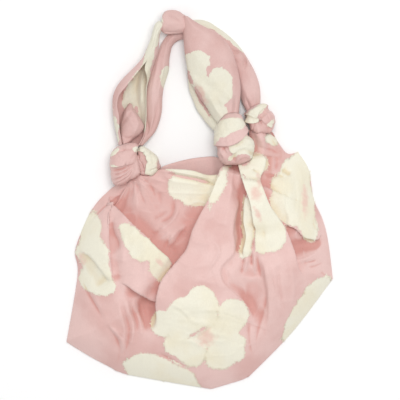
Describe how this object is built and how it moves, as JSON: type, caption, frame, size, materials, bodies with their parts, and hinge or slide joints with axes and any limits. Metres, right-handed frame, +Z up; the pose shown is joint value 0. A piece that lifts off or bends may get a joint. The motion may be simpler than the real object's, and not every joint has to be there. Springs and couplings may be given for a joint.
{
  "type": "knotted cloth hand bag",
  "caption": "Soft knotted cloth hand bag lying on its back, with an open pouch, crossing flaps and folded handles tied on with knots.",
  "frame": {"origin": "centre of the bag's footprint, on the surface it lies on", "axes": "+X to the bag's right, +Y from the pouch's bottom to the handles, +Z up from the surface"},
  "size_m": [0.399, 0.565, 0.0697],
  "materials": {
    "pouch_cloth": "soft woven cloth, dusty pink with cream flowers whose edges are frayed",
    "handle_cloth": "the same cloth, folded lengthwise",
    "knot_cloth": "the same cloth, drawn tight into knots"
  },
  "bodies": {
    "root": {"pouch": "pouch_cloth", "handle_front": "handle_cloth", "handle_back": "handle_cloth", "knot_left_front": "knot_cloth", "knot_left_back": "knot_cloth", "knot_right_front": "knot_cloth", "knot_right_back": "knot_cloth"}
  },
  "joints": []
}
